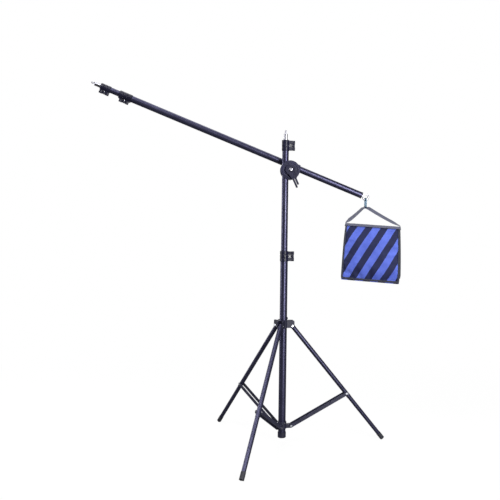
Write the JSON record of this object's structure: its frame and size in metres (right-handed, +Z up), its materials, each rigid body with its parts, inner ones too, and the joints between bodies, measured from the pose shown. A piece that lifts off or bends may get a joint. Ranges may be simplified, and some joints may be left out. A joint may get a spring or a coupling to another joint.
{
  "type": "boom light stand",
  "caption": "Folding three-legged light stand with a telescopic column, a swivel clamp head, a telescopic boom arm and a saddle sandbag counterweight.",
  "frame": {"origin": "the column's axis at floor level, where the three feet stand", "axes": "+Z up along the column; the boom lies in a plane parallel to XZ behind the column, its lamp end towards -X and its counterweight towards +X"},
  "size_m": [1.3501, 0.8094, 1.5444],
  "materials": {
    "black_tube": "satin",
    "black_plastic": "satin",
    "die_cast_black": "satin",
    "painted_steel": "satin",
    "chrome": "polished",
    "steel": "satin",
    "nylon": "matte",
    "rubber": "matte",
    "bag_cloth": "matte",
    "webbing": "matte"
  },
  "bodies": {
    "base": {"base_tube": "black_tube", "brace_collar": "black_plastic", "brace_collar_screws": "chrome", "bottom_plug": "rubber", "base_clamp": "black_plastic"},
    "leg_collar": {"leg_collar": "black_plastic", "leg_rivets": "chrome"},
    "leg_collar_knob": {"leg_collar_knob": "black_plastic", "leg_collar_stud": "chrome"},
    "leg_right": {"leg_right": "black_tube", "foot_right": "rubber"},
    "leg_rear": {"leg_rear": "black_tube", "foot_rear": "rubber"},
    "leg_front": {"leg_front": "black_tube", "foot_front": "rubber"},
    "brace_right": {"brace_right": "painted_steel", "brace_rivets_right": "chrome"},
    "brace_rear": {"brace_rear": "painted_steel", "brace_rivets_rear": "chrome"},
    "brace_front": {"brace_front": "painted_steel", "brace_rivets_front": "chrome"},
    "middle_section": {"middle_tube": "black_tube", "middle_tube_bush": "nylon", "middle_clamp": "black_plastic"},
    "base_clamp_knob": {"base_clamp_knob": "black_plastic", "base_clamp_stud": "chrome"},
    "middle_clamp_knob": {"middle_clamp_knob": "black_plastic", "middle_clamp_stud": "chrome"},
    "top_section": {"top_tube": "black_tube", "top_tube_bush": "nylon", "column_stud": "chrome"},
    "head_liner": {"head_liner": "nylon"},
    "head": {"head_front_shell": "die_cast_black", "head_rear_shell": "die_cast_black", "pivot_bolt": "chrome", "pivot_nut": "chrome"},
    "head_lever": {"head_lever": "die_cast_black"},
    "boom_clamp": {"boom_clamp": "die_cast_black"},
    "boom": {"boom_tube": "black_tube", "boom_tube_clamp": "black_plastic", "boom_tail_plug": "black_plastic", "tail_eye": "chrome"},
    "boom_tube_clamp_knob": {"boom_tube_clamp_knob": "black_plastic", "boom_tube_clamp_stud": "chrome"},
    "boom_middle": {"boom_middle_tube": "black_tube", "boom_middle_bush": "nylon", "boom_middle_clamp": "black_plastic"},
    "boom_middle_clamp_knob": {"boom_middle_clamp_knob": "black_plastic", "boom_middle_clamp_stud": "chrome"},
    "boom_inner": {"boom_inner_tube": "black_tube", "boom_inner_bush": "nylon", "boom_stud": "chrome"},
    "hook": {"hook": "steel"},
    "hook_gate": {"hook_gate": "steel"},
    "bag": {"bag_front_pouch": "bag_cloth", "bag_rear_pouch": "bag_cloth", "bag_fold": "webbing", "bag_strap_left": "webbing", "bag_strap_right": "webbing"}
  },
  "joints": [
    {"name": "leg_collar_slide", "type": "slide", "parent": "base", "child": "leg_collar", "axis": [0, 0, 1], "range_m": [0, 0.24051]},
    {"name": "leg_right_fold", "type": "hinge", "parent": "leg_collar", "child": "leg_right", "pos_m": [0.03832, 0.00369, 0.5175], "axis": [-0.0958, 0.9954, 0], "range_deg": [0, 39.44]},
    {"name": "leg_rear_fold", "type": "hinge", "parent": "leg_collar", "child": "leg_rear", "pos_m": [-0.02236, 0.03134, 0.5175], "axis": [-0.8141, -0.5807, 0], "range_deg": [0, 39.44]},
    {"name": "leg_front_fold", "type": "hinge", "parent": "leg_collar", "child": "leg_front", "pos_m": [-0.01597, -0.03503, 0.5175], "axis": [0.91, -0.4147, 0], "range_deg": [0, 39.44]},
    {"name": "brace_right_fold", "type": "hinge", "parent": "leg_right", "child": "brace_right", "pos_m": [0.28682, 0.02762, 0.21398], "axis": [-0.0958, 0.9954, 0], "range_deg": [-101.64, 0]},
    {"name": "brace_rear_fold", "type": "hinge", "parent": "leg_rear", "child": "brace_rear", "pos_m": [-0.16733, 0.23459, 0.21398], "axis": [-0.8141, -0.5807, 0], "range_deg": [-101.64, 0]},
    {"name": "brace_front_fold", "type": "hinge", "parent": "leg_front", "child": "brace_front", "pos_m": [-0.11949, -0.26221, 0.21398], "axis": [0.91, -0.4147, 0], "range_deg": [-101.64, 0]},
    {"name": "leg_collar_knob_turn", "type": "hinge", "parent": "leg_collar", "child": "leg_collar_knob", "pos_m": [0.01659, 0.0364, 0.5315], "axis": [0.4147, 0.91, 0], "range_deg": [0, 360]},
    {"name": "middle_section_slide", "type": "slide", "parent": "base", "child": "middle_section", "axis": [0, 0, 1], "range_m": [-0.15, 0.15]},
    {"name": "base_clamp_knob_turn", "type": "hinge", "parent": "base", "child": "base_clamp_knob", "pos_m": [0.03, 0, 0.818], "axis": [1, 0, 0], "range_deg": [0, 360]},
    {"name": "top_section_slide", "type": "slide", "parent": "middle_section", "child": "top_section", "axis": [0, 0, 1], "range_m": [0, 0.5]},
    {"name": "middle_clamp_knob_turn", "type": "hinge", "parent": "middle_section", "child": "middle_clamp_knob", "pos_m": [0.03, 0, 1.294], "axis": [1, 0, 0], "range_deg": [0, 360]},
    {"name": "head_slide", "type": "slide", "parent": "middle_section", "child": "head_liner", "axis": [0, 0, 1], "range_m": [-0.06, 0.01]},
    {"name": "head_pan", "type": "hinge", "parent": "head_liner", "child": "head", "pos_m": [0, 0, 1.188], "axis": [0, 0, 1], "continuous": true},
    {"name": "head_lever_turn", "type": "hinge", "parent": "head", "child": "head_lever", "pos_m": [0.02, 0, 1.188], "axis": [0, 1, 0], "range_deg": [-45, 100]},
    {"name": "boom_tilt", "type": "hinge", "parent": "head", "child": "boom_clamp", "pos_m": [0.02, 0, 1.188], "axis": [0, 1, 0], "range_deg": [-45, 5]},
    {"name": "boom_slide", "type": "slide", "parent": "boom_clamp", "child": "boom", "axis": [-0.9326, 0, 0.361], "range_m": [-0.08, 0.08]},
    {"name": "boom_tube_clamp_knob_turn", "type": "hinge", "parent": "boom", "child": "boom_tube_clamp_knob", "pos_m": [-0.68706, 0.044, 1.46812], "axis": [-0.361, 0, -0.9326], "range_deg": [0, 360]},
    {"name": "boom_middle_extend", "type": "slide", "parent": "boom", "child": "boom_middle", "axis": [-0.9326, 0, 0.361], "range_m": [0, 0.5]},
    {"name": "boom_middle_clamp_knob_turn", "type": "hinge", "parent": "boom_middle", "child": "boom_middle_clamp_knob", "pos_m": [-0.76959, 0.044, 1.50006], "axis": [-0.361, 0, -0.9326], "range_deg": [0, 360]},
    {"name": "boom_inner_extend", "type": "slide", "parent": "boom_middle", "child": "boom_inner", "axis": [-0.9326, 0, 0.361], "range_m": [0, 0.48]},
    {"name": "hook_hang", "type": "hinge", "parent": "boom", "child": "hook", "pos_m": [0.36418, 0.044, 1.08266], "axis": [0, 1, 0], "range_deg": [-5, 45]},
    {"name": "hook_gate_open", "type": "hinge", "parent": "hook", "child": "hook_gate", "pos_m": [0.36418, 0.057, 1.04136], "axis": [1, 0, 0], "range_deg": [0, 12], "stiffness_Nm_per_rad": 0.05, "springref_deg": -20.05},
    {"name": "bag_swing", "type": "hinge", "parent": "hook", "child": "bag", "pos_m": [0.36418, 0.044, 1.03436], "axis": [0, 1, 0], "range_deg": [-10, 10]}
  ],
  "couplings": [
    {"joint": "leg_right_fold", "follows": "leg_collar_slide", "rad_per_m": 2.8619},
    {"joint": "leg_rear_fold", "follows": "leg_collar_slide", "rad_per_m": 2.8619},
    {"joint": "leg_front_fold", "follows": "leg_collar_slide", "rad_per_m": 2.8619},
    {"joint": "brace_right_fold", "follows": "leg_collar_slide", "rad_per_m": -7.3758},
    {"joint": "brace_rear_fold", "follows": "leg_collar_slide", "rad_per_m": -7.3758},
    {"joint": "brace_front_fold", "follows": "leg_collar_slide", "rad_per_m": -7.3758},
    {"joint": "hook_hang", "follows": "boom_tilt", "ratio": -1}
  ]
}
